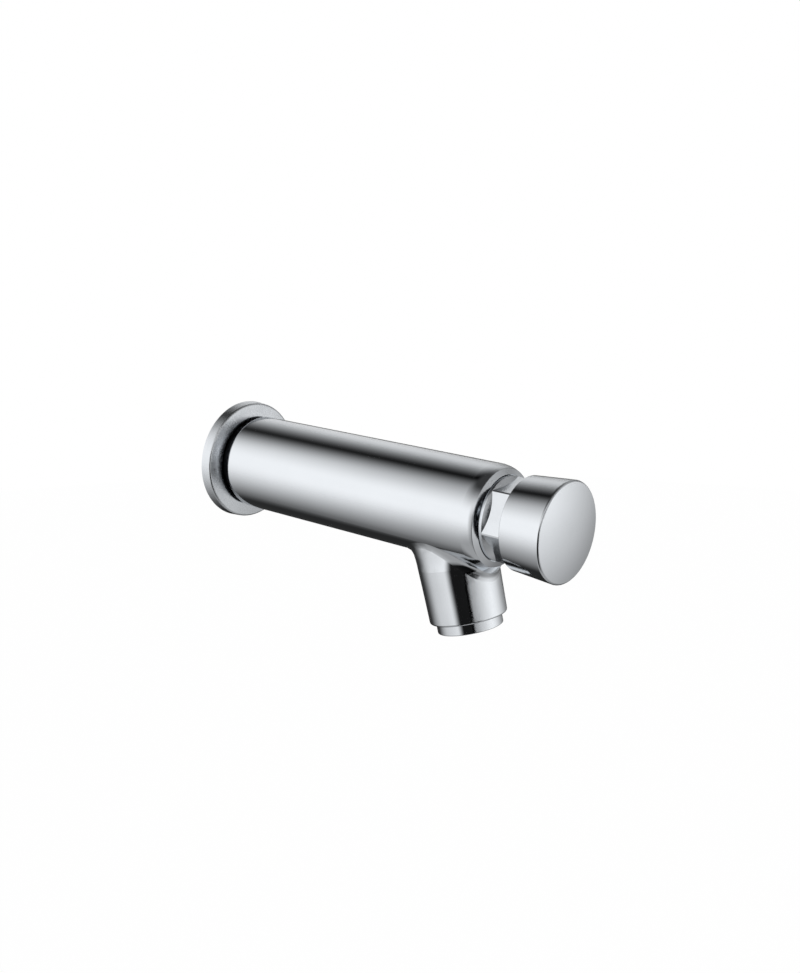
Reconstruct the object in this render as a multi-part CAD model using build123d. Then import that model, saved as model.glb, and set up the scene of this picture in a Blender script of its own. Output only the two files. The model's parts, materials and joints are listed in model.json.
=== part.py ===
from build123d import *
import math
import os

# Wall-mounted push timed tap. All lengths are millimetres.
# The origin is on the wall plane, on the tap's own axis. +Z is up and +Y goes into the wall.
# The tap stands out along -Y. A "reach" is how far a point stands out from the wall.

# Gaps that fits and seats share
seal_gap = 0.05
running_gap = 0.05
thread_gap = 0.06
slip_gap = 0.1
overrun = 1.0

# Tap body: a tube with a mouth for the gland and a narrower neck at the flange
mouth_wall = 3.6
tube_wall = 4.0
tube_front = 148.2
tube_rear_round = 1.3
tube_rear_step = 1.4
lip_round = 5.2
lip_drop = 1.15
lip_rise = 1.1
lip_edge = 0.3
mouth_depth = 2.0
mouth_gap = 0.23
mouth_edge = 0.15
neck_step = 2.2
neck_rear = 1.0
neck_edge = 0.6
core_slope = 3.0
bulkhead = 10.0
front_land = 9.2

# Spout, which leans forward from straight down
spout_setback = 28.5
spout_lean = 14.7
spout_taper = 0.6
spout_wall = 2.1
spout_length = 26.0
spout_rim_round = 0.9
spout_crotch = 5.0
spout_heel_drop = 3.0
spout_heel_bend = 32.0
spout_heel_steps = 4
spout_bite = 14.0
passage_r = 6.5
passage_back = 1.7
cavity_depth = 10.5

# Inlet nipple, with a G 1/2 thread for the wall and a slimmer thread in the body's socket
inlet_thread_r = 10.48
inlet_thread_pitch = 1.814
inlet_thread_depth = 1.16
inlet_tail = 15.5
inlet_relief = 1.2
socket_thread_step = 0.5
socket_thread_pitch = 1.5
socket_thread_depth = 0.66
nipple_collar_step = 1.7
nipple_collar = 2.5
nipple_recess = 2.0
nipple_reach = 20.0
nipple_key_step = 0.3
nipple_key_depth = 8.0
nipple_pocket_wall = 1.1
nipple_pocket_step = 2.2
nipple_pocket = 5.0
nipple_seal_thickness = 1.5

# Strainer and flow regulator inside the nipple
strainer_rim = 1.0
strainer_gap = 0.4
strainer_wall = 0.6
strainer_length = 14.0
strainer_slots = 10
strainer_slot_width = 1.5
strainer_slot_margin = 1.6
regulator_holes = 8
regulator_hole_r = 1.05
regulator_hole_margin = 0.4

# Wall flange with its slip ring and foam gasket
flange_width = 7.8
flange_draft = 0.35
flange_rim = 5.0
flange_face_rise = 0.9
flange_edge = 1.0
flange_bore_gap = 0.3
flange_mouth_round = 1.45
flange_mouth_flat = 0.15
flange_pocket = 2.0
flange_pocket_wall = 2.9
flange_rim_wall = 1.3
flange_ring_space = 1.8
flange_ring_start = 2.1
flange_ring_width = 2.0
flange_travel = 3.5
flange_stop_gap = 0.5

# Cartridge sleeve: a valve seat at the wall end and a cylinder in front of it
sleeve_bore_r = 12.0
sleeve_wall = 2.5
sleeve_length = 50.0
sleeve_edge = 0.5
spigot_step = 2.0
spigot_wall = 2.9
spigot_length = 12.0
web = 5.0
seat_hole_r = 5.5
seat_rim_width = 1.1
seat_rim = 1.0
groove_depth = 1.4
groove_width = 1.9
groove_inset = 3.2
port_count = 6
port_r = 3.5
port_inset = 8.0

# Gland nut: a thread in the body, a conical collar and a hexagon
gland_flat_step = 1.0
gland_turn = 6.5
gland_head = 15.3
gland_corner_trim = 0.2
gland_collar_step = 0.05
gland_collar = 3.4
gland_cone = 2.5
gland_cone_drop = 3.4
gland_front_slope = 1.9
gland_front_drop = 1.2
gland_thread_step = 1.5
gland_thread_pitch = 1.5
gland_thread_depth = 0.92
gland_thread = 10.0
gland_pilot = 1.2
gland_washer_thickness = 1.0
gland_stem_gap = 0.3
gland_floor = 2.0

# Stem, from the valve tail at the wall end to the button
stem_r = 4.0
stem_shoulder = 0.8
stem_tail_step = 1.2
stem_chamfer = 0.6

# Packing in the gland, from the wall end to the front
packing_space = 2.5
wiper_length = 1.8
wiper_lip = 0.5
wiper_inset = 0.3

# Piston with its lip seal and clip
piston_front_gap = 2.5
piston_length = 8.0
piston_gap = 0.2
lip_seal_space = 2.6
lip_seal_width = 4.2
lip_seal_web = 1.1
lip_seal_wall = 0.7
piston_land = 1.6
clip_thickness = 0.8
clip_height = 2.2
clip_bite = 0.6
clip_mouth = 1.8

# Metering pin, fixed in the gland and passing through the piston
pin_r = 0.5
pin_seat = 4.0
pin_spare = 1.0

# Valve at the tail of the stem
washer_thickness = 3.0
cup_play = 1.4
cup_wall = 0.8
cup_floor = 1.6
cup_lip = 1.9
valve_nut_flats = 7.0
valve_nut_thickness = 3.2
valve_nut_chamfer = 0.4
tail_spare = 0.6

# Return spring
spring_wire_r = 0.7
spring_side_gap = 1.9
spring_end_gap = 0.45
spring_open_turns = 5
spring_steps = 4
spring_gap_steps = 24

# Push button, a flared cap over the hexagon
button_travel = 8.0
button_stop_gap = 0.2
button_rest_gap = 2.7
button_skirt_gap = 0.43
button_wall = 1.45
button_flare = 1.4
button_hub = 4.9
button_face = 2.9
button_crown = 1.9
button_crown_flat = 0.6
button_edge = 1.0
button_rear_edge = 0.3
button_thread = 6.3

# Grub screw that locks the button to the stem
grub_r = 1.5
grub_length = 4.4
grub_key_flats = 1.5
grub_key_depth = 1.6
grub_hole_gap = 0.4
grub_inset = 0.6

# Aerator: M28 x 1 housing with its gasket, screen and insert
aerator_thread_r = 14.0
aerator_thread_pitch = 1.0
aerator_thread_depth = 0.6
aerator_thread = 6.5
aerator_ring_step = 0.35
aerator_ring = 4.4
aerator_edge = 0.4
aerator_wall = 1.0
aerator_lip = 0.9
aerator_lip_width = 1.1
aerator_gasket_thickness = 1.5
aerator_gasket_width = 1.6
insert_length = 6.4
insert_cell_r = 0.95
insert_cell_pitch = 2.4
insert_rim = 1.0
insert_cell_turn = 30
screen_thickness = 0.8
screen_hole_r = 0.5
screen_hole_pitch = 1.75
screen_rim = 1.0

# One ridge of a thread, as shares of its pitch: foot, start and end of the crest, foot
ridge_shares = (1 / 12, 5 / 12, 7 / 12, 11 / 12)

# Where an edge is looked at, as shares of its length
probe_shares = (0.1, 0.5, 0.9)

# Radii and counts that follow from the sizes above
inlet_root_r = inlet_thread_r - inlet_thread_depth
nipple_collar_r = inlet_thread_r + nipple_collar_step
socket_thread_r = inlet_thread_r - socket_thread_step
socket_root_r = socket_thread_r - socket_thread_depth
nipple_pocket_r = socket_root_r - nipple_pocket_wall
nipple_bore_r = nipple_pocket_r - nipple_pocket_step
nipple_key_flats = 2 * (nipple_bore_r + nipple_key_step)
strainer_r = nipple_bore_r - strainer_gap
regulator_hole_ring_r = strainer_r - strainer_wall - regulator_hole_r - regulator_hole_margin
sleeve_r = sleeve_bore_r + sleeve_wall
land_r = sleeve_r + slip_gap
spigot_r = sleeve_r - spigot_step
spigot_bore_r = spigot_r - spigot_wall
bulkhead_r = spigot_r + slip_gap
gland_thread_r = sleeve_r + gland_thread_step
gland_flats = 2 * (gland_thread_r - gland_flat_step)
gland_corner_r = gland_flats / math.sqrt(3) - gland_corner_trim
gland_collar_r = gland_corner_r + gland_collar_step
mouth_r = gland_collar_r + mouth_gap
tube_r = mouth_r + mouth_wall
chamber_r = tube_r - tube_wall
neck_r = tube_r - neck_step
flange_bore_r = neck_r + flange_bore_gap
flange_ring_r = neck_r + flange_ring_space
flange_r = flange_bore_r + flange_width
stem_slim_r = stem_r - stem_shoulder
stem_tail_r = stem_slim_r - stem_tail_step
packing_r = stem_r + packing_space
cup_r = spigot_bore_r - cup_play
spring_mean_r = sleeve_bore_r - spring_side_gap - spring_wire_r
pin_offset = (stem_r + spring_mean_r - spring_wire_r) / 2
spring_turns = spring_open_turns + 2
button_skirt_r = gland_corner_r + button_skirt_gap
button_rear_r = button_skirt_r + button_wall
button_front_r = button_rear_r + button_flare
button_hub_r = stem_r + grub_length + grub_inset
spout_rim_r = aerator_thread_r + spout_wall
spout_r = spout_rim_r + spout_taper
aerator_ring_r = aerator_thread_r - aerator_ring_step
aerator_bore_r = aerator_thread_r - aerator_thread_depth - aerator_wall
cavity_r = aerator_bore_r - slip_gap

# Reaches that follow from the sizes above, from the wall outwards
collar_rear = neck_rear + nipple_recess
collar_front = collar_rear + nipple_collar
neck_seat = collar_front + nipple_seal_thickness
flange_front = flange_rim + flange_face_rise
tube_rear = flange_front + flange_travel + flange_stop_gap
mouth_floor = tube_front - mouth_depth
gland_rear = mouth_floor - gland_thread - gland_pilot
gland_front = mouth_floor + gland_head
packing_floor = gland_rear + pin_seat + gland_floor
sleeve_front = gland_rear - gland_washer_thickness
sleeve_shoulder = sleeve_front - sleeve_length
sleeve_rear = sleeve_shoulder - spigot_length
web_front = sleeve_shoulder + web
bulkhead_rear = sleeve_shoulder - bulkhead
land_front = mouth_floor - gland_thread
land_rear = land_front - front_land
piston_front = gland_rear - piston_front_gap
piston_rear = piston_front - piston_length
washer_front = sleeve_shoulder - seat_rim - seal_gap
washer_rear = washer_front - washer_thickness
cup_rear = washer_rear - cup_floor
valve_nut_rear = cup_rear - valve_nut_thickness
stem_rear = valve_nut_rear - tail_spare
spring_foot = web_front + spring_wire_r + seal_gap
spring_span = piston_rear - spring_wire_r - seal_gap - spring_foot
hub_rear = gland_front + button_travel + button_stop_gap
button_ceiling = hub_rear + button_hub
button_rim = button_ceiling + button_face
button_rear = tube_front + button_travel + button_rest_gap
stem_front = hub_rear + button_thread

# Stations along the spout's axis, measured from the tap's axis
spout_axis_reach = tube_front - spout_setback
spout_root = tube_r - spout_bite
spout_heel_start = tube_r + spout_heel_drop
spout_rim = tube_r + spout_length
thread_seat = spout_rim - aerator_thread - aerator_gasket_thickness
housing_top = spout_rim - aerator_thread
outlet_end = spout_rim + aerator_ring
insert_end = outlet_end - aerator_lip
insert_top = insert_end - insert_length
screen_top = insert_top - screen_thickness


# The outward direction becomes -Y and the drawing's up becomes +Z
def along_tap(shape):
    return Rot(X=90) * shape


# A plain round bar between two reaches
def rod(radius, start, end):
    bar = Cylinder(radius, end - start, align=(Align.CENTER, Align.CENTER, Align.MIN))
    return Pos(0, 0, start) * bar


# A bar with a hexagonal section, given across its flats
def hex_rod(flats, start, end, turn=0):
    section = RegularPolygon(radius=flats / 2, side_count=6, major_radius=False)
    return Pos(0, 0, start) * Rot(Z=turn) * extrude(section, amount=end - start)


# A face in the plane of reach and radius, spun about the tap's axis with chosen corners rounded
def spun(face, rounds=()):
    for corner, radius in rounds:
        vertex = face.vertices().sort_by_distance((corner[0], 0, corner[1]))[0]
        face = fillet(vertex, radius)
    return revolve(face, Axis.Z)


# A solid of revolution from its (radius, reach) corners
def turned(corners, rounds=()):
    outline = Polyline(*[(radius, 0, reach) for radius, reach in corners], close=True)
    return spun(make_face(outline), rounds)


# The crests and roots of a thread, as corners of a turned outline, centred between two reaches
def thread_corners(crest_r, depth, pitch, start, end):
    ridges = max(1, math.floor((end - start) / pitch))
    margin = (end - start - ridges * pitch) / 2
    root_r = crest_r - depth
    corners = []
    for ridge in range(ridges):
        foot = start + margin + ridge * pitch
        for share, radius in zip(ridge_shares, (root_r, crest_r, crest_r, root_r)):
            corners.append((radius, foot + pitch * share))
    return corners


# A sealing ring that fills the space between two radii
def seal_ring(inner_r, outer_r, middle):
    section_r = (outer_r - inner_r) / 2 - seal_gap
    return Pos(0, 0, middle) * Torus((inner_r + outer_r) / 2, section_r)


# A round groove cut from the outside of a bar
def groove(outer_r, depth, start, width):
    return rod(outer_r + overrun, start, start + width) - rod(outer_r - depth, start, start + width)


# Centres of a honeycomb field of holes that lie within a radius
def hex_field(pitch, field_r):
    rings = math.ceil(2 * field_r / pitch)
    spots = []
    for row in range(-rings, rings + 1):
        for column in range(-rings, rings + 1):
            x = pitch * (column + row / 2)
            y = pitch * row * math.sqrt(3) / 2
            if math.hypot(x, y) <= field_r:
                spots.append((x, y))
    return spots


# The frame of the spout: its Z runs down the spout and its Y points to the front
lean = math.radians(spout_lean)
spout_frame = Plane(
    origin=(0, 0, spout_axis_reach),
    x_dir=(1, 0, 0),
    z_dir=(0, -math.cos(lean), math.sin(lean)),
)


# The spout's outside: a plain taper below and a heel that swells towards the wall above
def spout_outside():
    sections = []
    for step in range(spout_heel_steps + 1):
        rise = (spout_heel_start - spout_root) * step / spout_heel_steps
        swell = rise * rise / (4 * spout_heel_bend)
        section = Ellipse(spout_r, spout_r + swell)
        sections.append(Pos(0, -swell, spout_heel_start - rise) * section)
    heel = loft(sections)
    rim_corner = (spout_rim_r, spout_rim)
    corners = [(0, spout_heel_start), (spout_r, spout_heel_start), rim_corner, (0, spout_rim)]
    taper = turned(corners, [(rim_corner, spout_rim_round)])
    return spout_frame * (taper + heel)


# The edges where the spout meets the tube
def crotch_edges(shape):
    found = []
    for edge in shape.edges():
        spots = [edge.position_at(share) for share in probe_shares]
        on_tube = all(abs(math.hypot(spot.X, spot.Y) - tube_r) < running_gap for spot in spots)
        if on_tube and edge.geom_type not in (GeomType.CIRCLE, GeomType.LINE):
            found.append(edge)
    return found


# What the turned front of the body leaves outside its lip: a soft bend and a sloping ring
def lip_cutter():
    crest_r = mouth_r + mouth_edge
    rim_r = tube_r - lip_drop
    rim = tube_front - lip_rise
    start = rim - lip_round
    side = tube_r + spout_crotch
    far = tube_front + 2 * spout_crotch
    bend = TangentArc((tube_r, 0, start), (rim_r, 0, rim), tangent=(0, 0, 1))
    outline = Polyline(
        (rim_r, 0, rim),
        (crest_r, 0, tube_front),
        (0, 0, tube_front),
        (0, 0, far),
        (side, 0, far),
        (side, 0, start + spout_crotch),
        (tube_r, 0, start),
    )
    return spun(make_face([bend, *outline.edges()]), [((rim_r, rim), lip_edge)])


# The inside of the body, from the nipple's seat to the gland's mouth
def body_cavity():
    corners = [
        (0, neck_rear - overrun),
        (nipple_collar_r + slip_gap, neck_rear - overrun),
        (nipple_collar_r + slip_gap, neck_seat),
        (socket_thread_r + thread_gap, neck_seat),
        (socket_thread_r + thread_gap, nipple_reach + slip_gap),
        (chamber_r, nipple_reach + slip_gap + core_slope),
        (chamber_r, bulkhead_rear - core_slope),
        (bulkhead_r, bulkhead_rear),
        (bulkhead_r, sleeve_shoulder),
        (chamber_r, sleeve_shoulder),
        (chamber_r, land_rear - core_slope / 2),
        (land_r, land_rear),
        (land_r, land_front),
        (gland_thread_r + thread_gap, land_front),
        (gland_thread_r + thread_gap, mouth_floor),
        (mouth_r, mouth_floor),
        (mouth_r, tube_front - mouth_edge),
        (mouth_r + mouth_edge, tube_front),
        (mouth_r + mouth_edge, tube_front + overrun),
        (0, tube_front + overrun),
    ]
    return turned(corners)


# The water way inside the spout: a tapered passage, a round cavity and the aerator's thread
def spout_cavity():
    cavity_top = thread_seat - cavity_depth
    cavity = rod(cavity_r, cavity_top, thread_seat)
    thread = rod(aerator_thread_r + thread_gap, thread_seat, spout_rim + overrun)
    end = spout_frame.from_local_coords(Vector(0, 0, cavity_top + cavity_r / 2))
    start = Vector(0, 0, spout_axis_reach - passage_back)
    way = end - start
    passage = Cone(passage_r, cavity_r, way.length, align=(Align.CENTER, Align.CENTER, Align.MIN))
    aim = Plane(origin=start, x_dir=(1, 0, 0), z_dir=way)
    return spout_frame * (cavity + thread) + aim * passage


# Hollow body casting, finished as one piece with its spout
def tap_body():
    neck = rod(neck_r, neck_rear, tube_rear + tube_rear_step)
    neck = chamfer(neck.edges().group_by(Axis.Z)[0], neck_edge)
    tube = rod(tube_r, tube_rear, tube_front + spout_crotch)
    tube = fillet(tube.edges().group_by(Axis.Z)[0], tube_rear_round)
    outside = tube + spout_outside()
    outside = fillet(crotch_edges(outside), spout_crotch)
    outside = outside - lip_cutter() + neck
    return outside - body_cavity() - spout_cavity()


# Threaded inlet nipple, turned in place with a hexagonal key from the wall end
def inlet_nipple():
    tail_end = -inlet_tail
    corners = [(0, tail_end), (inlet_root_r, tail_end)]
    corners += thread_corners(
        inlet_thread_r, inlet_thread_depth, inlet_thread_pitch, tail_end, collar_rear - inlet_relief
    )
    corners += [
        (inlet_root_r, collar_rear - inlet_relief),
        (inlet_root_r, collar_rear),
        (nipple_collar_r, collar_rear),
        (nipple_collar_r, collar_front),
        (socket_root_r, collar_front),
        (socket_root_r, neck_seat),
    ]
    corners += thread_corners(
        socket_thread_r, socket_thread_depth, socket_thread_pitch, neck_seat, nipple_reach
    )
    corners += [(socket_root_r, nipple_reach), (0, nipple_reach)]
    nipple = turned(corners)
    nipple -= rod(nipple_bore_r, tail_end - overrun, nipple_reach)
    nipple -= rod(nipple_pocket_r, nipple_reach - nipple_pocket, nipple_reach + overrun)
    return nipple - hex_rod(nipple_key_flats, tail_end - overrun, tail_end + nipple_key_depth)


# Flat ring that seals the nipple's collar in the neck
def nipple_seal():
    inner_r = socket_thread_r + thread_gap
    return rod(nipple_collar_r, collar_front, neck_seat) - rod(inner_r, collar_front, neck_seat)


# Slotted thimble that hangs by its rim in the nipple's front pocket
def inlet_strainer():
    rim_rear = nipple_reach - nipple_pocket
    rim_front = rim_rear + strainer_rim
    inner_r = strainer_r - strainer_wall
    end = rim_front - strainer_length
    thimble = rod(nipple_pocket_r - slip_gap, rim_rear, rim_front) + rod(strainer_r, end, rim_rear)
    thimble -= rod(inner_r, end + strainer_wall, rim_front)
    slot_start = end + strainer_slot_margin
    slot_length = rim_rear - strainer_slot_margin - slot_start
    cutter = Box(
        nipple_bore_r,
        strainer_slot_width,
        slot_length,
        align=(Align.MIN, Align.CENTER, Align.MIN),
    )
    cutter = Pos(inner_r / 2, 0, slot_start) * cutter
    for slot in range(strainer_slots):
        thimble -= Rot(Z=slot * 360 / strainer_slots) * cutter
    return thimble


# Puck with a ring of small holes that evens out the flow
def flow_regulator():
    start = nipple_reach - nipple_pocket + strainer_rim
    puck = rod(nipple_pocket_r - slip_gap, start, nipple_reach)
    hole = rod(regulator_hole_r, start, nipple_reach)
    for index in range(regulator_holes):
        puck -= Rot(Z=index * 360 / regulator_holes) * Pos(regulator_hole_ring_r, 0, 0) * hole
    return puck


# Loose round flange that slides on the neck and covers the hole in the wall
def wall_flange():
    front_r = flange_r - flange_draft
    lip_r = flange_bore_r + flange_mouth_round + flange_mouth_flat
    bore_corner = (flange_bore_r, flange_front)
    rim_corner = (front_r, flange_rim)
    corners = [
        (flange_bore_r, 0),
        (flange_r, 0),
        rim_corner,
        (lip_r, flange_front),
        bore_corner,
    ]
    flange = turned(corners, [(rim_corner, flange_edge), (bore_corner, flange_mouth_round)])
    pocket_inner_r = flange_bore_r + flange_pocket_wall
    pocket_outer_r = flange_r - flange_rim_wall
    flange -= rod(pocket_outer_r, -overrun, flange_pocket) - rod(pocket_inner_r, -overrun, flange_pocket)
    ring_end = flange_ring_start + flange_ring_width
    return flange - rod(flange_ring_r, flange_ring_start, ring_end)


# Rubber ring in the flange's bore that grips the neck
def flange_ring():
    return seal_ring(neck_r, flange_ring_r, flange_ring_start + flange_ring_width / 2)


# Foam gasket in the back of the flange, flush with its rim
def wall_gasket():
    inner_r = flange_bore_r + flange_pocket_wall + slip_gap
    outer_r = flange_r - flange_rim_wall - slip_gap
    return rod(outer_r, 0, flange_pocket) - rod(inner_r, 0, flange_pocket)


# Cartridge sleeve with the valve seat, the outlet ports and the cylinder
def cartridge_sleeve():
    corners = [
        (0, sleeve_rear),
        (spigot_r - sleeve_edge, sleeve_rear),
        (spigot_r, sleeve_rear + sleeve_edge),
        (spigot_r, sleeve_shoulder),
        (sleeve_r, sleeve_shoulder),
        (sleeve_r, sleeve_front - sleeve_edge),
        (sleeve_r - sleeve_edge, sleeve_front),
        (0, sleeve_front),
    ]
    sleeve = turned(corners)
    seat_rim_r = seat_hole_r + seat_rim_width
    sleeve -= rod(spigot_bore_r, sleeve_rear, sleeve_shoulder) - rod(
        seat_rim_r, sleeve_shoulder - seat_rim, sleeve_shoulder
    )
    sleeve -= rod(seat_hole_r, sleeve_rear, web_front)
    sleeve -= rod(sleeve_bore_r, web_front, sleeve_front)
    sleeve -= groove(spigot_r, groove_depth, rear_groove_start(), groove_width)
    sleeve -= groove(sleeve_r, groove_depth, front_groove_start(), groove_width)
    port = Pos(0, 0, web_front + port_inset) * Rot(Y=90) * Cylinder(
        port_r, sleeve_r + overrun, align=(Align.CENTER, Align.CENTER, Align.MIN)
    )
    for index in range(port_count):
        sleeve -= Rot(Z=index * 360 / port_count) * port
    return sleeve


# Where the grooves of the sleeve's two rings start
def rear_groove_start():
    return sleeve_shoulder - groove_inset - groove_width


def front_groove_start():
    return land_front - groove_inset - groove_width


# Ring between the sleeve's spigot and the bulkhead
def sleeve_rear_ring():
    middle = rear_groove_start() + groove_width / 2
    return seal_ring(spigot_r - groove_depth, bulkhead_r, middle)


# Ring between the sleeve's front end and the land in the body
def sleeve_front_ring():
    middle = front_groove_start() + groove_width / 2
    return seal_ring(sleeve_r - groove_depth, land_r, middle)


# Flat ring clamped between the gland nut and the sleeve
def gland_washer():
    inner_r = sleeve_bore_r + slip_gap
    return rod(sleeve_r, sleeve_front, gland_rear) - rod(inner_r, sleeve_front, gland_rear)


# Gland nut that screws into the mouth of the body and holds the cartridge down
def gland_nut():
    root_r = gland_thread_r - gland_thread_depth
    collar_front_reach = mouth_floor + gland_collar
    cone_front = collar_front_reach + gland_cone
    corners = [(0, gland_rear), (sleeve_r, gland_rear), (sleeve_r, land_front)]
    corners += thread_corners(
        gland_thread_r, gland_thread_depth, gland_thread_pitch, land_front, mouth_floor
    )
    corners += [
        (root_r, mouth_floor),
        (gland_collar_r, mouth_floor),
        (gland_collar_r, collar_front_reach),
        (gland_collar_r - gland_cone_drop, cone_front),
        (0, cone_front),
    ]
    head = hex_rod(gland_flats, mouth_floor, gland_front, gland_turn)
    trim = turned([
        (0, mouth_floor),
        (gland_corner_r, mouth_floor),
        (gland_corner_r, gland_front - gland_front_drop),
        (gland_corner_r - gland_front_slope, gland_front),
        (0, gland_front),
    ])
    nut = turned(corners) + (head & trim)
    nut -= rod(stem_r + gland_stem_gap, gland_rear - overrun, gland_front)
    nut -= rod(packing_r, packing_floor, gland_front + overrun)
    pin_hole = rod(pin_r + thread_gap, gland_rear - overrun, gland_rear + pin_seat)
    return nut - Pos(pin_offset, 0, 0) * pin_hole


# Ring that seals the stem at the bottom of the gland's pocket
def stem_ring():
    return seal_ring(stem_r, packing_r, packing_floor + packing_space / 2)


# Plastic bush that guides the stem
def stem_bush():
    start = packing_floor + packing_space
    end = gland_front - wiper_inset - wiper_length
    bush = rod(packing_r - running_gap, start, end)
    return bush - rod(stem_r + running_gap, start, end)


# Lipped ring that wipes the stem at the gland's front
def wiper_ring():
    start = gland_front - wiper_inset - wiper_length
    end = gland_front - wiper_inset
    bore_r = stem_r + running_gap
    return turned([
        (bore_r + wiper_lip, start),
        (packing_r - running_gap, start),
        (packing_r - running_gap, end - wiper_lip),
        (bore_r + wiper_lip, end - wiper_lip),
        (bore_r, end),
        (bore_r, end - wiper_lip),
    ])


# Fixed pin that meters the water leaving the timing chamber
def metering_pin():
    end = piston_rear - button_travel - pin_spare
    pin = rod(pin_r, end, gland_rear + pin_seat)
    pin = chamfer(pin.edges().group_by(Axis.Z)[0], pin_r / 2)
    return Pos(pin_offset, 0, 0) * pin


# Stem with its shoulders, clip groove and threaded ends
def stem():
    clip_root_r = stem_slim_r - clip_bite
    corners = [
        (0, stem_rear),
        (stem_tail_r, stem_rear),
        (stem_tail_r, washer_front),
        (stem_slim_r, washer_front),
        (stem_slim_r, piston_rear - clip_thickness),
        (clip_root_r, piston_rear - clip_thickness),
        (clip_root_r, piston_rear),
        (stem_slim_r, piston_rear),
        (stem_slim_r, piston_front),
        (stem_r, piston_front),
        (stem_r, stem_front - stem_chamfer),
        (stem_r - stem_chamfer, stem_front),
        (0, stem_front),
    ]
    return turned(corners)


# Piston with the groove for its lip seal and the metering hole
def piston():
    outer_r = sleeve_bore_r - piston_gap
    groove_start = piston_rear + piston_land
    disc = rod(outer_r, piston_rear, piston_front)
    disc -= groove(outer_r, outer_r - lip_seal_root(), groove_start, lip_seal_width)
    disc -= rod(stem_slim_r + slip_gap / 2, piston_rear - overrun, piston_front + overrun)
    pin_way = rod(pin_r + running_gap, piston_rear - overrun, piston_front + overrun)
    return disc - Pos(pin_offset, 0, 0) * pin_way


def lip_seal_root():
    return sleeve_bore_r - lip_seal_space


# U-shaped seal whose lips open towards the timing chamber
def piston_seal():
    inner_r = lip_seal_root() + seal_gap
    outer_r = sleeve_bore_r - running_gap
    start = piston_rear + piston_land + seal_gap
    end = piston_rear + piston_land + lip_seal_width - seal_gap
    heel_r = sleeve_bore_r - piston_gap
    return turned([
        (inner_r, start),
        (heel_r, start),
        (outer_r, end),
        (outer_r - lip_seal_wall, end),
        (heel_r - lip_seal_wall, start + lip_seal_web),
        (inner_r + lip_seal_wall, start + lip_seal_web),
        (inner_r + lip_seal_wall, end),
        (inner_r, end),
    ])


# Clip that holds the piston against the stem's shoulder, open on the metering pin's side
def piston_clip():
    inner_r = stem_slim_r - clip_bite + seal_gap
    outer_r = stem_slim_r + clip_height
    start = piston_rear - clip_thickness + seal_gap
    clip = rod(outer_r, start, piston_rear) - rod(inner_r, start, piston_rear)
    mouth = Box(
        2 * outer_r,
        2 * clip_mouth,
        2 * clip_thickness,
        align=(Align.MIN, Align.CENTER, Align.CENTER),
    )
    return clip - Pos(0, 0, piston_rear) * mouth


# Rubber washer that closes on the valve seat
def valve_washer():
    outer_r = cup_r - cup_wall - slip_gap
    inner_r = stem_slim_r + slip_gap
    return rod(outer_r, washer_rear, washer_front) - rod(inner_r, washer_rear, washer_front)


# Cup that holds the washer, with a hub that the stem's shoulder bears on
def valve_cup():
    cup = rod(cup_r, cup_rear, washer_rear + cup_lip)
    cup -= rod(cup_r - cup_wall, washer_rear, washer_front)
    cup += rod(stem_slim_r, cup_rear, washer_front)
    return cup - rod(stem_tail_r + thread_gap, cup_rear - overrun, washer_front + overrun)


# Nut that holds the cup and the washer on the stem's tail
def valve_nut():
    nut = hex_rod(valve_nut_flats, valve_nut_rear, cup_rear)
    corner_r = valve_nut_flats / math.sqrt(3)
    nut &= turned([
        (0, valve_nut_rear),
        (corner_r - valve_nut_chamfer, valve_nut_rear),
        (corner_r, valve_nut_rear + valve_nut_chamfer),
        (corner_r, cup_rear),
        (0, cup_rear),
    ])
    return nut - rod(stem_tail_r + thread_gap, valve_nut_rear - overrun, cup_rear + overrun)


# Height of the spring's centre line above its foot, with one close turn at each end
def spring_height(turn):
    close_pitch = 2 * spring_wire_r + spring_end_gap
    open_pitch = (spring_span - 2 * close_pitch) / spring_open_turns
    if turn <= 1:
        return turn * close_pitch
    if turn >= spring_turns - 1:
        return spring_span - (spring_turns - turn) * close_pitch
    return close_pitch + (turn - 1) * open_pitch


# A point of the spring's centre line after a number of turns
def spring_point(turn):
    angle = 2 * math.pi * turn
    height = spring_foot + spring_height(turn)
    return Vector(spring_mean_r * math.cos(angle), spring_mean_r * math.sin(angle), height)


# The way the wire runs at that point
def spring_way(turn):
    before = max(turn - 1 / spring_steps, 0)
    after = min(turn + 1 / spring_steps, spring_turns)
    rise = (spring_height(after) - spring_height(before)) / (2 * math.pi * (after - before))
    angle = 2 * math.pi * turn
    return Vector(-spring_mean_r * math.sin(angle), spring_mean_r * math.cos(angle), rise).normalized()


# Two arcs that join two points and keep the given directions at both
def biarc(start, end, start_way, end_way):
    chord = end - start
    both = start_way + end_way
    a = both.dot(both) - 4
    b = -2 * chord.dot(both)
    c = chord.dot(chord)
    reach = (-b - math.sqrt(b * b - 4 * a * c)) / (2 * a)
    first = start + start_way * reach
    second = end - end_way * reach
    middle = (first + second) / 2
    return [
        TangentArc(start, middle, tangent=start_way),
        TangentArc(middle, end, tangent=second - first),
    ]


# Return spring between the web and the piston, one unbroken wire
def return_spring():
    stops = [step / spring_steps for step in range(spring_turns * spring_steps + 1)]
    arcs = []
    for start, end in zip(stops, stops[1:]):
        arcs += biarc(spring_point(start), spring_point(end), spring_way(start), spring_way(end))
    section = Plane(origin=spring_point(0), z_dir=spring_way(0)) * Circle(spring_wire_r)
    return sweep(section, path=Wire(arcs))


# The least gap between two turns of the spring, measured on points of its centre line
def spring_gap():
    count = spring_turns * spring_gap_steps
    spots = [spring_point(step / spring_gap_steps) for step in range(count + 1)]
    spans = [
        (spots[second] - spots[first]).length
        for first in range(count)
        for second in range(first + spring_gap_steps // 2, count + 1)
    ]
    return min(spans) - 2 * spring_wire_r


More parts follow.
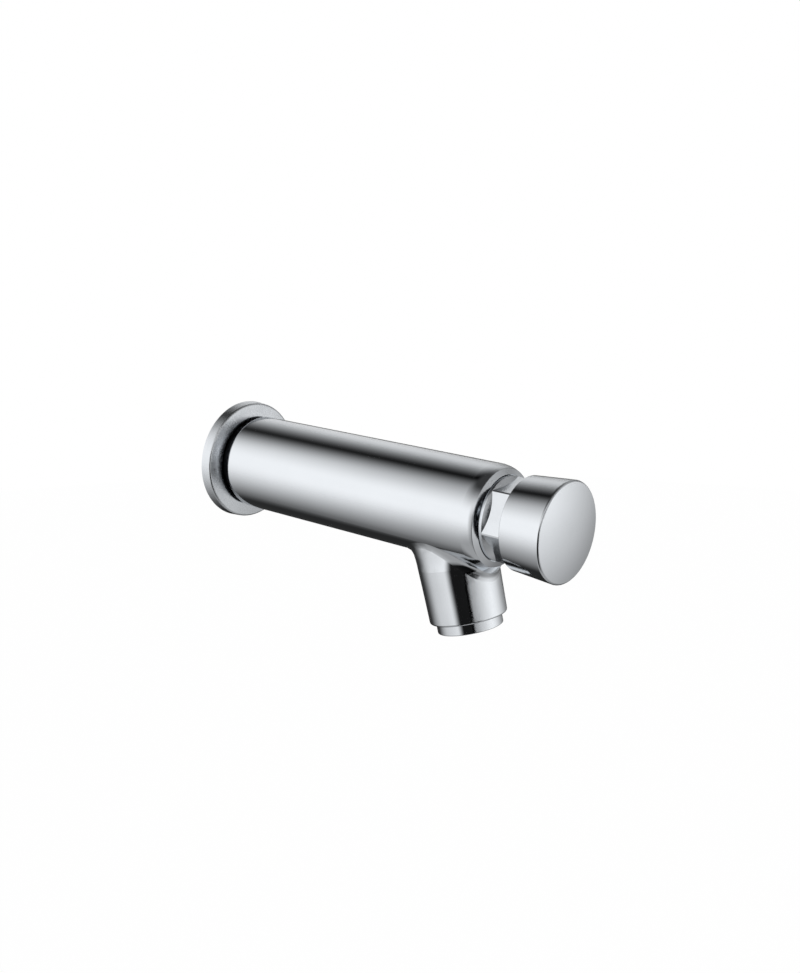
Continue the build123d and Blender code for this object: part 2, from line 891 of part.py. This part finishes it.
# Push button: a flared cap with a threaded hub inside and a slightly crowned face
def push_button():
    peak = button_rim + button_crown
    crown = TangentArc((button_crown_flat, 0, peak), (button_front_r, 0, button_rim), tangent=(1, 0, 0))
    side = Polyline(
        (button_front_r, 0, button_rim),
        (button_rear_r, 0, button_rear),
        (button_skirt_r, 0, button_rear),
        (button_skirt_r, 0, button_ceiling),
        (0, 0, button_ceiling),
        (0, 0, peak),
        (button_crown_flat, 0, peak),
    )
    rounds = [
        ((button_front_r, button_rim), button_edge),
        ((button_rear_r, button_rear), button_rear_edge),
        ((button_skirt_r, button_rear), button_rear_edge),
    ]
    cap = spun(make_face([crown, *side.edges()]), rounds)
    cap += rod(button_hub_r, hub_rear, button_ceiling)
    cap -= rod(stem_r + thread_gap, hub_rear - overrun, stem_front + thread_gap)
    grub_way = Rot(X=90) * Cylinder(
        grub_r + thread_gap, button_hub_r + overrun, align=(Align.CENTER, Align.CENTER, Align.MIN)
    )
    key_way = Pos(0, -button_hub_r, 0) * Rot(X=90) * Cylinder(
        grub_r + grub_hole_gap, button_front_r, align=(Align.CENTER, Align.CENTER, Align.MIN)
    )
    return cap - Pos(0, 0, grub_reach()) * (grub_way + key_way)


def grub_reach():
    return hub_rear + button_hub / 2


# Grub screw in the hub, entered from the underside of the button
def button_screw():
    screw = rod(grub_r, stem_r + seal_gap, stem_r + grub_length)
    key_start = stem_r + grub_length - grub_key_depth
    screw -= hex_rod(grub_key_flats, key_start, stem_r + grub_length + overrun)
    screw = chamfer(screw.edges().group_by(Axis.Z)[0], grub_r / 3)
    return Pos(0, 0, grub_reach()) * Rot(X=90) * screw


# Aerator housing, screwed into the spout
def aerator_housing():
    root_r = aerator_thread_r - aerator_thread_depth
    end_corner = (aerator_ring_r, outlet_end)
    corners = [(aerator_bore_r, housing_top), (root_r, housing_top)]
    corners += thread_corners(
        aerator_thread_r, aerator_thread_depth, aerator_thread_pitch, housing_top, spout_rim
    )
    corners += [
        (aerator_ring_r, spout_rim),
        end_corner,
        (aerator_bore_r - aerator_lip_width, outlet_end),
        (aerator_bore_r - aerator_lip_width, insert_end),
        (aerator_bore_r, insert_end),
    ]
    return spout_frame * turned(corners, [(end_corner, aerator_edge)])


# Flat ring between the housing and the seat in the spout
def aerator_gasket():
    ring = rod(aerator_thread_r, thread_seat, housing_top)
    return spout_frame * (ring - rod(aerator_thread_r - aerator_gasket_width, thread_seat, housing_top))


# Plastic insert with a honeycomb of channels that straightens the stream
def aerator_insert():
    insert = rod(aerator_bore_r - slip_gap, insert_top, insert_end)
    cell = hex_rod(2 * insert_cell_r, insert_top - overrun, insert_end + overrun, insert_cell_turn)
    field_r = aerator_bore_r - slip_gap - insert_rim - 2 * insert_cell_r / math.sqrt(3)
    cells = [Pos(x, y, 0) * cell for x, y in hex_field(insert_cell_pitch, field_r)]
    return spout_frame * (insert - cells)


# Perforated disc that lies on the insert and mixes air into the water
def aerator_screen():
    disc = rod(aerator_bore_r - slip_gap, screen_top, insert_top)
    hole = rod(screen_hole_r, screen_top - overrun, insert_top + overrun)
    field_r = aerator_bore_r - slip_gap - screen_rim - screen_hole_r
    holes = [Pos(x, y, 0) * hole for x, y in hex_field(screen_hole_pitch, field_r)]
    return spout_frame * (disc - holes)


pieces = {
    "tap_body": tap_body,
    "inlet_nipple": inlet_nipple,
    "nipple_seal": nipple_seal,
    "inlet_strainer": inlet_strainer,
    "flow_regulator": flow_regulator,
    "wall_flange": wall_flange,
    "flange_ring": flange_ring,
    "wall_gasket": wall_gasket,
    "cartridge_sleeve": cartridge_sleeve,
    "sleeve_rear_ring": sleeve_rear_ring,
    "sleeve_front_ring": sleeve_front_ring,
    "gland_washer": gland_washer,
    "gland_nut": gland_nut,
    "stem_ring": stem_ring,
    "stem_bush": stem_bush,
    "wiper_ring": wiper_ring,
    "metering_pin": metering_pin,
    "stem": stem,
    "piston": piston,
    "piston_seal": piston_seal,
    "piston_clip": piston_clip,
    "valve_washer": valve_washer,
    "valve_cup": valve_cup,
    "valve_nut": valve_nut,
    "return_spring": return_spring,
    "push_button": push_button,
    "button_screw": button_screw,
    "aerator_housing": aerator_housing,
    "aerator_gasket": aerator_gasket,
    "aerator_insert": aerator_insert,
    "aerator_screen": aerator_screen,
}

os.makedirs("parts", exist_ok=True)
for name, make in pieces.items():
    export_step(along_tap(make()), f"parts/{name}.step")
print(f"Least gap between the return spring's turns: {spring_gap():.2f} mm")
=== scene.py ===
import json
import math

import bmesh
import bpy
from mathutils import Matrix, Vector


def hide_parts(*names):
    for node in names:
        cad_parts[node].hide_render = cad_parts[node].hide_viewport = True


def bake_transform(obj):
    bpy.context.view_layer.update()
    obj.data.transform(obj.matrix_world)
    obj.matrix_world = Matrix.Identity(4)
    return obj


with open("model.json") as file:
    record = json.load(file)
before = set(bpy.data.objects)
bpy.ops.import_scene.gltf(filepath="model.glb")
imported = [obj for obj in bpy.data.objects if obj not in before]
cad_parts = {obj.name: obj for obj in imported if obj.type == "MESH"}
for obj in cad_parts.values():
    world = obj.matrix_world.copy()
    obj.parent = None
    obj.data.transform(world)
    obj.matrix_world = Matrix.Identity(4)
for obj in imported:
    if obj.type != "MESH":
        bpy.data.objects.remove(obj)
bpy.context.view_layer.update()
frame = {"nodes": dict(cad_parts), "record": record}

# Lengths are metres and angles degrees. The tap's axis is the line x = z = 0. The wall is at
# y = 0, and the tap stands out from it towards -y.


# A direction out from the tap: azimuth 0 is straight off the wall, and 90 is towards +x
def towards(azimuth, elevation):
    turn = math.radians(azimuth)
    rise = math.radians(elevation)
    level = math.cos(rise)
    return Vector((math.sin(turn) * level, -math.cos(turn) * level, math.sin(rise)))


def addObject(name, data):
    thing = bpy.data.objects.new(name, data)
    bpy.context.scene.collection.objects.link(thing)
    return thing


# Stands a camera or a lamp off from a point and turns it to look back there
def standOff(thing, point, azimuth, elevation, distance):
    back = towards(azimuth, elevation)
    thing.location = Vector(point) + back * distance
    thing.rotation_euler = back.to_track_quat("Z", "Y").to_euler()


# The camera stands where the photo was taken from
photoView = {
    "azimuth": -49.81,
    "elevation": 15.63,
    "distance": 0.4998,
    "target": (0.00059, -0.09421, 0.00305),
    "focalPixels": 1191.3,
    "frameHeight": 973,  # pixels, the longer side of the picture
    "sensor": 36.0,  # millimetres, along the longer side
    "clip": (0.01, 40.0),
}


def placeCamera(view):
    data = bpy.data.cameras.new("photoCamera")
    data.sensor_width = view["sensor"]
    data.lens = view["focalPixels"] * view["sensor"] / view["frameHeight"]
    data.clip_start, data.clip_end = view["clip"]
    camera = addObject("photoCamera", data)
    standOff(camera, view["target"], view["azimuth"], view["elevation"], view["distance"])
    bpy.context.scene.camera = camera


placeCamera(photoView)
bpy.context.scene.view_settings.view_transform = "Standard"
print("camera placed")


# Gives a socket a plain value, or links it to another node's output
def feed(tree, value, entry):
    if isinstance(value, bpy.types.NodeSocket):
        tree.links.new(value, entry)
    else:
        entry.default_value = value


# Adds a node, changes its settings, and feeds its inputs by name or number
def addNode(tree, kind, inputs=None, **settings):
    node = tree.nodes.new(kind)
    for name, value in settings.items():
        setattr(node, name, value)
    for entry, value in (inputs or {}).items():
        feed(tree, value, node.inputs[entry])
    return node


def calc(tree, operation, *values):
    return addNode(tree, "ShaderNodeMath", dict(enumerate(values)), operation=operation).outputs[0]


# Runs softly from start to end while the value goes from low to high
def smoothStep(tree, value, low, high, start=0.0, end=1.0):
    inputs = {"Value": value, "From Min": low, "From Max": high, "To Min": start, "To Max": end}
    return addNode(tree, "ShaderNodeMapRange", inputs, interpolation_type="SMOOTHSTEP").outputs["Result"]


# The value that lies a share of the way from low to high
def between(tree, share, low, high):
    return calc(tree, "MULTIPLY_ADD", share, calc(tree, "SUBTRACT", high, low), low)


def noise(tree, vector, perMetre, detail, roughness):
    inputs = {"Vector": vector, "Scale": perMetre, "Detail": detail, "Roughness": roughness}
    return addNode(tree, "ShaderNodeTexNoise", inputs).outputs["Fac"]


# 0, 6 and 7 are the share and the two colours of the node, and 2 is its colour output
def mixColours(tree, share, first, second):
    return addNode(tree, "ShaderNodeMix", {0: share, 6: first, 7: second}, data_type="RGBA").outputs[2]


def newMaterial(name):
    material = bpy.data.materials.new(name)
    material.use_nodes = True
    material.node_tree.nodes.clear()
    return material, material.node_tree


# Ends a tree with a mix of two shaders
def endWithMix(tree, endKind, share, first, second):
    mix = addNode(tree, "ShaderNodeMixShader", {0: share, 1: first.outputs[0], 2: second.outputs[0]})
    addNode(tree, endKind, {"Surface": mix.outputs[0]})


# Rays that should see the white studio: straight from the camera, off metal, and through clear pieces
def studioRays(tree):
    path = addNode(tree, "ShaderNodeLightPath").outputs
    seen = calc(tree, "MAXIMUM", path["Is Camera Ray"], path["Is Glossy Ray"])
    return calc(tree, "MAXIMUM", seen, path["Is Transmission Ray"])


# The studio: a white world, a pale floor, one soft lamp, and cards for the chrome to mirror
studio = {
    "centre": (0.0, -0.094, 0.0),  # about the middle of the tap
    "white": (1.0, 1.0, 1.0, 1.0),
    "fill": 0.78,  # strength of the world's light on dull pieces
    "keyPower": 14.0,
    "keySize": 1.4,
    "keyFrom": (-35.0, 48.0),  # azimuth and elevation
    "keyDistance": 2.0,
    "floorDrop": 2.4,  # how far the floor lies below the centre
    "floorRadius": 9.0,
    "floorSides": 96,
    "floorShade": (0.93, 0.93, 0.93, 1.0),
    "floorOwnLight": 0.98,  # share of the floor's look that is plain white
    "cardRadius": 1.9,
    "cardGap": 0.02,  # each card stands this much farther out than the one before
    "cardStep": 3.0,  # the most that one face of a card spans
}

# Black and grey cards. Each reaches over a span of azimuth and elevation. "soft" is how wide its
# fading edges are: left, right, bottom, top. "depth" is the share of the light that it takes away.
cards = {
    "cameraFlag": {
        "azimuth": (-93, -30), "elevation": (-80, 40),
        "soft": (22, 9, 20, 40), "depth": 0.99,
    },
    "cameraFade": {
        "azimuth": (-44, 31), "elevation": (-70, 40),
        "soft": (3, 88, 10, 5), "depth": 0.82,
    },
    "lipCard": {
        "azimuth": (-38, -7), "elevation": (-42, -3),
        "soft": (6, 10, 12, 9), "depth": 0.9,
    },
    "rightCard": {
        "azimuth": (26, 142), "elevation": (-75, 51),
        "soft": (75, 31, 12, 43), "depth": 0.71,
    },
    "rightUpperCard": {
        "azimuth": (-18, 112), "elevation": (-4, 76),
        "soft": (20, 16, 18, 28), "depth": 0.55,
    },
    "wallStrip": {
        "azimuth": (117, 215), "elevation": (-12, 80),
        "soft": (57, 43, 11, 15), "depth": 0.97,
    },
    "wallStripLow": {
        "azimuth": (100, 230), "elevation": (-80, 9),
        "soft": (27, 62, 12, 15), "depth": 0.94,
    },
    "floorCard": {
        "azimuth": (-180, 180), "elevation": (-90, 2),
        "soft": (0, 0, 0, 52), "depth": 0.64,
    },
    "ceilingCard": {
        "azimuth": (-180, 180), "elevation": (14, 90),
        "soft": (0, 0, 60, 0), "depth": 0.96,
    },
}


def makeWorld(values):
    world = bpy.data.worlds.new("studioWorld")
    world.use_nodes = True
    bpy.context.scene.world = world
    tree = world.node_tree
    tree.nodes.clear()
    fill = addNode(tree, "ShaderNodeBackground", {"Color": values["white"], "Strength": values["fill"]})
    seen = addNode(tree, "ShaderNodeBackground", {"Color": values["white"], "Strength": 1.0})
    endWithMix(tree, "ShaderNodeOutputWorld", studioRays(tree), fill, seen)


# Turns a mesh in the making into a piece of the studio, which isn't part of the tap
def stagePiece(name, build, material):
    mesh = bpy.data.meshes.new(name)
    build.to_mesh(mesh)
    build.free()
    mesh.materials.append(material)
    piece = addObject(name, mesh)
    return piece


def floorMaterial(values):
    material, tree = newMaterial("paleFloor")
    paint = addNode(tree, "ShaderNodeBsdfDiffuse", {"Color": values["floorShade"]})
    glow = addNode(tree, "ShaderNodeEmission", {"Color": values["white"], "Strength": 1.0})
    share = calc(tree, "MULTIPLY", studioRays(tree), values["floorOwnLight"])
    endWithMix(tree, "ShaderNodeOutputMaterial", share, paint, glow)
    return material


def makeFloor(values):
    sides = values["floorSides"]
    build = bmesh.new()
    bmesh.ops.create_circle(build, cap_ends=True, segments=sides, radius=values["floorRadius"])
    floor = stagePiece("studioFloor", build, floorMaterial(values))
    floor.location = Vector(values["centre"]) - Vector((0, 0, values["floorDrop"]))


# How far a card reaches across and up
def cardSpan(card):
    return [far - near for near, far in (card["azimuth"], card["elevation"])]


# A card is clear at its soft edges and black, as far as its depth allows, between them
def cardMaterial(name, card):
    material, tree = newMaterial(name)
    place = addNode(tree, "ShaderNodeUVMap", uv_map="span")
    along = addNode(tree, "ShaderNodeSeparateXYZ", {0: place.outputs["UV"]}).outputs
    wide, high = cardSpan(card)
    left, right, bottom, top = card["soft"]
    depth = 1.0
    for axis, size, near, far in (("X", wide, left, right), ("Y", high, bottom, top)):
        if near:
            edge = smoothStep(tree, along[axis], 0.0, near / size)
            depth = calc(tree, "MULTIPLY", depth, edge)
        if far:
            edge = smoothStep(tree, along[axis], 1.0 - far / size, 1.0, 1.0, 0.0)
            depth = calc(tree, "MULTIPLY", depth, edge)
    depth = calc(tree, "MULTIPLY", depth, card["depth"])
    clear = addNode(tree, "ShaderNodeBsdfTransparent")
    dark = addNode(tree, "ShaderNodeEmission", {"Color": (0.0, 0.0, 0.0, 1.0), "Strength": 0.0})
    endWithMix(tree, "ShaderNodeOutputMaterial", depth, clear, dark)
    return material


# A curved card: a piece of a sphere round the tap, with its span of angles laid flat in its UV map
def makeCard(name, card, values, order):
    centre = Vector(values["centre"])
    radius = values["cardRadius"] + values["cardGap"] * order
    wide, high = cardSpan(card)
    columns = math.ceil(wide / values["cardStep"])
    rows = math.ceil(high / values["cardStep"])
    build = bmesh.new()
    layer = build.loops.layers.uv.new("span")
    grid = []
    for row in range(rows + 1):
        elevation = card["elevation"][0] + high * row / rows
        line = []
        for column in range(columns + 1):
            azimuth = card["azimuth"][0] + wide * column / columns
            line.append(build.verts.new(centre + towards(azimuth, elevation) * radius))
        grid.append(line)
    for row in range(rows):
        for column in range(columns):
            corners = ((row, column), (row, column + 1), (row + 1, column + 1), (row + 1, column))
            face = build.faces.new([grid[r][c] for r, c in corners])
            face.smooth = True
            for loop, (r, c) in zip(face.loops, corners):
                loop[layer].uv = (c / columns, r / rows)
    piece = stagePiece(name, build, cardMaterial(name, card))
    piece.visible_camera = False  # only metal mirrors the cards
    piece.visible_diffuse = False
    piece.visible_transmission = False
    piece.visible_volume_scatter = False
    piece.visible_shadow = False


def makeKeyLamp(values):
    data = bpy.data.lights.new("keyLamp", "AREA")
    data.shape = "SQUARE"
    data.size = values["keySize"]
    data.energy = values["keyPower"]
    lamp = addObject("keyLamp", data)
    standOff(lamp, values["centre"], *values["keyFrom"], values["keyDistance"])
    lamp.visible_glossy = False


makeWorld(studio)
makeFloor(studio)
for order, (name, card) in enumerate(cards.items()):
    makeCard(name, card, studio, order)
makeKeyLamp(studio)
print("studio built: floor, lamp and", len(cards), "cards")


# Starts a shared effect: it takes a place and some numbers, and gives numbers
def newGroup(name, inputs, outputs):
    group = bpy.data.node_groups.new(name, "ShaderNodeTree")
    sockets = group.interface
    sockets.new_socket(name="Vector", in_out="INPUT", socket_type="NodeSocketVector")
    for label, value in inputs.items():
        entry = sockets.new_socket(name=label, in_out="INPUT", socket_type="NodeSocketFloat")
        entry.default_value = value
    for label in outputs:
        sockets.new_socket(name=label, in_out="OUTPUT", socket_type="NodeSocketFloat")
    return group, addNode(group, "NodeGroupInput").outputs, addNode(group, "NodeGroupOutput").inputs


wiping = {
    "broad": (4.0, 0.6),  # detail and roughness of the noise
    "fine": (3.0, 0.65),
    "finer": 28.0,  # how many times smaller the fine marks are
    "fineShare": 0.4,
    "contrast": (0.3, 0.7),  # what is under the first is smoothest, and over the second roughest
}


# Soft unevenness that polishing and wiping leave on a plated surface
def wipeMarksGroup(values):
    inputs = {"Low": 0.06, "High": 0.12, "Per Metre": 45.0}
    group, start, end = newGroup("wipeMarks", inputs, ("Roughness", "Height"))
    finePerMetre = calc(group, "MULTIPLY", start["Per Metre"], values["finer"])
    broad = noise(group, start["Vector"], start["Per Metre"], *values["broad"])
    fine = noise(group, start["Vector"], finePerMetre, *values["fine"])
    broadPart = calc(group, "MULTIPLY", broad, 1.0 - values["fineShare"])
    blend = calc(group, "MULTIPLY_ADD", fine, values["fineShare"], broadPart)
    shaped = smoothStep(group, blend, *values["contrast"])
    feed(group, between(group, shaped, start["Low"], start["High"]), end["Roughness"])
    feed(group, broad, end["Height"])
    return group


# How far a place lies from the tap's axis, and where it lies along that axis
def axisPlace(tree, vector):
    parts = addNode(tree, "ShaderNodeSeparateXYZ", {0: vector}).outputs
    squareX = calc(tree, "MULTIPLY", parts["X"], parts["X"])
    square = calc(tree, "MULTIPLY_ADD", parts["Z"], parts["Z"], squareX)
    return calc(tree, "SQRT", square), parts["Y"]


# Marks what lies within a radius of the tap's axis, over a stretch of the way out from the wall
def axisBandGroup():
    inputs = {"Full Radius": 0.019, "Clear Radius": 0.02, "Reach From": 0.0, "Reach To": 0.2}
    group, start, end = newGroup("axisBand", inputs, ("Mask",))
    radius, along = axisPlace(group, start["Vector"])
    reach = calc(group, "MULTIPLY", along, -1.0)
    near = smoothStep(group, radius, start["Full Radius"], start["Clear Radius"], 1.0, 0.0)
    front = calc(group, "GREATER_THAN", reach, start["Reach From"])
    rear = calc(group, "LESS_THAN", reach, start["Reach To"])
    feed(group, calc(group, "MULTIPLY", near, calc(group, "MULTIPLY", front, rear)), end["Mask"])
    return group


turning = {
    "alongShare": 0.7,  # what a step along the axis counts for beside one outwards
    "unevenPerTurn": 0.37,  # how far the noise moves on from one ring to the next
    "uneven": (3.0, 0.7),  # detail and roughness of the noise
    "rippleShare": 0.25,  # how high the even ripple is beside the noise
    "contrast": (0.35, 0.65),
}


# Rings that a turning tool leaves round the tap's axis, on faces, cones and cylinders alike
def turnedRingsGroup(values):
    group, start, end = newGroup("turnedRings", {"Pitch": 0.0002}, ("Height", "Mask"))
    radius, along = axisPlace(group, start["Vector"])
    travel = calc(group, "MULTIPLY_ADD", along, values["alongShare"], radius)
    turns = calc(group, "DIVIDE", travel, start["Pitch"])
    ripple = calc(group, "SINE", calc(group, "MULTIPLY", turns, 2 * math.pi))
    drift = calc(group, "MULTIPLY", turns, values["unevenPerTurn"])
    line = addNode(group, "ShaderNodeCombineXYZ", {"X": drift})
    uneven = noise(group, line.outputs[0], 1.0, *values["uneven"])
    feed(group, calc(group, "MULTIPLY_ADD", ripple, values["rippleShare"], uneven), end["Height"])
    feed(group, smoothStep(group, uneven, *values["contrast"]), end["Mask"])
    return group


speckling = {
    "noise": (5.0, 0.65),  # detail and roughness
    "contrast": (0.32, 0.68),
}


# Fine speckle of a cast, moulded or foamed surface
def surfaceGrainGroup(values):
    inputs = {"Low": 0.4, "High": 0.6, "Per Metre": 900.0}
    group, start, end = newGroup("surfaceGrain", inputs, ("Roughness", "Height", "Mask"))
    fine = noise(group, start["Vector"], start["Per Metre"], *values["noise"])
    shaped = smoothStep(group, fine, *values["contrast"])
    feed(group, between(group, shaped, start["Low"], start["High"]), end["Roughness"])
    feed(group, fine, end["Height"])
    feed(group, shaped, end["Mask"])
    return group


wipeMarks = wipeMarksGroup(wiping)
axisBand = axisBandGroup()
turnedRings = turnedRingsGroup(turning)
surfaceGrain = surfaceGrainGroup(speckling)
print("shared effects ready")


# Starts a finish. Its places are measured from where the tap's axis meets the wall, at rest.
def startFinish(name):
    material, tree = newMaterial(name)
    return material, tree, addNode(tree, "ShaderNodeTexCoord").outputs["Object"]


def endFinish(material, colour, rough, normal, metallic=0.0):
    tree = material.node_tree
    inputs = {"Base Color": colour, "Metallic": metallic, "Roughness": rough, "Normal": normal}
    shader = addNode(tree, "ShaderNodeBsdfPrincipled", inputs)
    addNode(tree, "ShaderNodeOutputMaterial", {"Surface": shader.outputs[0]})
    return material


def placeGroup(tree, group, inputs):
    return addNode(tree, "ShaderNodeGroup", inputs, node_tree=group).outputs


# Wiping marks or grain, with the roughness of its smoothest and roughest spots
def placeMarks(tree, group, place, roughness, perMetre):
    low, high = roughness
    return placeGroup(tree, group, {"Vector": place, "Low": low, "High": high, "Per Metre": perMetre})


def bump(tree, height, depth, under=None):
    inputs = {"Height": height, "Distance": depth}
    if under is not None:
        inputs["Normal"] = under
    return addNode(tree, "ShaderNodeBump", inputs).outputs["Normal"]


# Bright chrome plate, as on the aerator's ring
chromeLook = {
    "bright": (0.872, 0.903, 0.938, 1.0),
    "dull": (0.822, 0.852, 0.886, 1.0),
    "roughness": (0.05, 0.1),
    "marksPerMetre": 45.0,
    "waviness": 0.000012,
    "bands": (),
}

# What a band round the axis can be in place of bright plate. Each band fades out between its two
# radii, and runs between two distances from the wall.
# Painted shade: a near-black, rougher band where the gap between parts lies in shade
paintedGapShade = {"colour": (0.03, 0.032, 0.036, 1.0), "rougher": 0.4}
bareBrass = {"colour": (0.7, 0.53, 0.27, 1.0), "rougher": 0.25}

# The body is bare brass inside, and has painted shade on the neck between its tube and the flange
bodyLook = {
    **chromeLook,
    "bands": (
        {**bareBrass, "radius": (0.0170, 0.0173), "reach": (-0.1, 0.3)},  # its whole length
        {**paintedGapShade, "radius": (0.0190, 0.0199), "reach": (0.0042, 0.0104)},
    ),
}

# The flange is satin, with painted shade beside the neck
flangeLook = {
    **chromeLook,
    "roughness": (0.2, 0.34),
    "marksPerMetre": 90.0,
    "grainPerMetre": 1500.0,
    "grainDepth": 0.000011,
    "bands": (
        {**paintedGapShade, "radius": (0.0190, 0.0197), "reach": (0.0042, 0.0104)},
    ),
}

glandLook = {
    **chromeLook,
    "roughness": (0.12, 0.26),
    "marksPerMetre": 160.0,
    "grainPerMetre": 2200.0,
    "grainDepth": 0.000008,
    "ringPitch": 0.0004,
    "ringDepth": 0.000005,
}

# The button is dull inside, with painted shade there
buttonLook = {
    **chromeLook,
    "roughness": (0.05, 0.11),
    "marksPerMetre": 60.0,
    "bands": (
        {**paintedGapShade, "radius": (0.01875, 0.01895), "reach": (0.15, 0.174)},
    ),
}


def chromePlate(name, look):
    material, tree, place = startFinish(name)
    marks = placeMarks(tree, wipeMarks, place, look["roughness"], look["marksPerMetre"])
    shade = mixColours(tree, marks["Height"], look["bright"], look["dull"])
    rough = marks["Roughness"]
    # Each band lays either bare brass or painted shade over the plate
    for band in look["bands"]:
        full, clear = band["radius"]
        near, far = band["reach"]
        edges = {"Full Radius": full, "Clear Radius": clear, "Reach From": near, "Reach To": far}
        mask = placeGroup(tree, axisBand, {"Vector": place, **edges})["Mask"]
        shade = mixColours(tree, mask, shade, band["colour"])
        rough = calc(tree, "MULTIPLY_ADD", mask, band["rougher"], rough)
    normal = bump(tree, marks["Height"], look["waviness"])
    if "grainPerMetre" in look:
        grain = placeGroup(tree, surfaceGrain, {"Vector": place, "Per Metre": look["grainPerMetre"]})
        normal = bump(tree, grain["Height"], look["grainDepth"], normal)
    if "ringPitch" in look:
        rings = placeGroup(tree, turnedRings, {"Vector": place, "Pitch": look["ringPitch"]})
        normal = bump(tree, rings["Height"], look["ringDepth"], normal)
    return endFinish(material, shade, rough, normal, metallic=1.0)


brassLook = {
    "bright": (0.83, 0.66, 0.36, 1.0),
    "dull": (0.62, 0.46, 0.24, 1.0),
    "roughness": (0.2, 0.36),
    "marksPerMetre": 90.0,
    "ringPitch": 0.00025,
    "ringDepth": 0.000004,
}


def plainBrass(look):
    material, tree, place = startFinish("plainBrass")
    marks = placeMarks(tree, wipeMarks, place, look["roughness"], look["marksPerMetre"])
    rings = placeGroup(tree, turnedRings, {"Vector": place, "Pitch": look["ringPitch"]})
    tarnish = calc(tree, "MULTIPLY", marks["Height"], rings["Mask"])
    shade = mixColours(tree, tarnish, look["bright"], look["dull"])
    normal = bump(tree, rings["Height"], look["ringDepth"])
    return endFinish(material, shade, marks["Roughness"], normal, metallic=1.0)


plasticLook = {
    "plain": (0.87, 0.87, 0.84, 1.0),
    "speckle": (0.8, 0.8, 0.77, 1.0),
    "roughness": (0.34, 0.46),
    "grainPerMetre": 1600.0,
    "grainDepth": 0.000006,
}

rubberLook = {
    "plain": (0.028, 0.028, 0.03, 1.0),
    "speckle": (0.06, 0.06, 0.062, 1.0),
    "roughness": (0.45, 0.65),
    "grainPerMetre": 700.0,
    "grainDepth": 0.00001,
}


# Plastic and rubber as they come out of a mould
def moulded(name, look):
    material, tree, place = startFinish(name)
    grain = placeMarks(tree, surfaceGrain, place, look["roughness"], look["grainPerMetre"])
    shade = mixColours(tree, grain["Mask"], look["plain"], look["speckle"])
    normal = bump(tree, grain["Height"], look["grainDepth"])
    return endFinish(material, shade, grain["Roughness"], normal)


# The pits at the cells' middles are painted darker than the skin, as painted shade in them
foamLook = {
    "cell": (0.1, 0.1, 0.105, 1.0),
    "skin": (0.2, 0.2, 0.21, 1.0),
    "cellsPerMetre": 1900.0,
    "cellEdge": (0.15, 0.75),
    "cellDepth": 0.00012,
    "roughness": (0.75, 0.95),
    "grainPerMetre": 600.0,
}


def greyFoam(look):
    material, tree, place = startFinish("greyFoam")
    inputs = {"Vector": place, "Scale": look["cellsPerMetre"]}
    cells = addNode(tree, "ShaderNodeTexVoronoi", inputs, feature="SMOOTH_F1")
    # Painted shade: the pits take the darker cell colour
    pits = smoothStep(tree, cells.outputs["Distance"], *look["cellEdge"])
    grain = placeMarks(tree, surfaceGrain, place, look["roughness"], look["grainPerMetre"])
    share = calc(tree, "MULTIPLY", pits, grain["Mask"])
    shade = mixColours(tree, share, look["cell"], look["skin"])
    return endFinish(material, shade, grain["Roughness"], bump(tree, pits, look["cellDepth"]))


fibreLook = {
    "fresh": (0.5, 0.16, 0.1, 1.0),
    "pale": (0.62, 0.27, 0.18, 1.0),
    "stretch": (1.0, 0.25, 0.4),  # the strands are longest along the least of these
    "fibresPerMetre": 2600.0,
    "fibre": (6.0, 0.7),  # detail and roughness of the noise
    "fibreDepth": 0.00002,
    "roughness": (0.7, 0.9),
    "grainPerMetre": 800.0,
}


def fibreWasher(look):
    material, tree, place = startFinish("fibreWasher")
    stretch = addNode(tree, "ShaderNodeMapping", {"Vector": place, "Scale": look["stretch"]})
    strands = noise(tree, stretch.outputs[0], look["fibresPerMetre"], *look["fibre"])
    grain = placeMarks(tree, surfaceGrain, place, look["roughness"], look["grainPerMetre"])
    shade = mixColours(tree, strands, look["fresh"], look["pale"])
    return endFinish(material, shade, grain["Roughness"], bump(tree, strands, look["fibreDepth"]))


stainlessLook = {
    "bright": (0.66, 0.66, 0.65, 1.0),
    "dull": (0.5, 0.5, 0.49, 1.0),
    "roughness": (0.16, 0.3),
    "marksPerMetre": 160.0,
    "scratchesPerMetre": 4200.0,
    "scratch": (3.0, 0.7),  # detail and roughness of the noise
    "scratchDepth": 0.000003,
}


def stainless(look):
    material, tree, place = startFinish("stainless")
    marks = placeMarks(tree, wipeMarks, place, look["roughness"], look["marksPerMetre"])
    scratches = noise(tree, place, look["scratchesPerMetre"], *look["scratch"])
    shade = mixColours(tree, marks["Height"], look["bright"], look["dull"])
    normal = bump(tree, scratches, look["scratchDepth"])
    return endFinish(material, shade, marks["Roughness"], normal, metallic=1.0)


# One finish for each material slot of the record
finishes = {
    "chrome_plate": chromePlate("chromePlate", chromeLook),
    "plain_brass": plainBrass(brassLook),
    "white_plastic": moulded("whitePlastic", plasticLook),
    "black_rubber": moulded("blackRubber", rubberLook),
    "grey_foam": greyFoam(foamLook),
    "fibre_washer": fibreWasher(fibreLook),
    "stainless": stainless(stainlessLook),
}

# Chromed pieces that were worked in another way, or that have painted shade in a gap or hollow
ownFinishes = {
    "tap_body": chromePlate("castChrome", bodyLook),
    "wall_flange": chromePlate("flangeChrome", flangeLook),
    "gland_nut": chromePlate("turnedChrome", glandLook),
    "push_button": chromePlate("buttonChrome", buttonLook),
}

for part in frame["record"]["subparts"]:
    piece = frame["nodes"][part["node"]]
    finish = ownFinishes.get(part["node"], finishes[part["material_slot"]])
    for slot in piece.material_slots:
        slot.material = finish


# Copies the return spring into a piece of its own, and hides the original
def bendSpring():
    solid = frame["nodes"]["return_spring"]
    coils = addObject("springCoils", solid.data.copy())
    coils.matrix_world = solid.matrix_world
    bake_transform(coils)
    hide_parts("return_spring")


bendSpring()
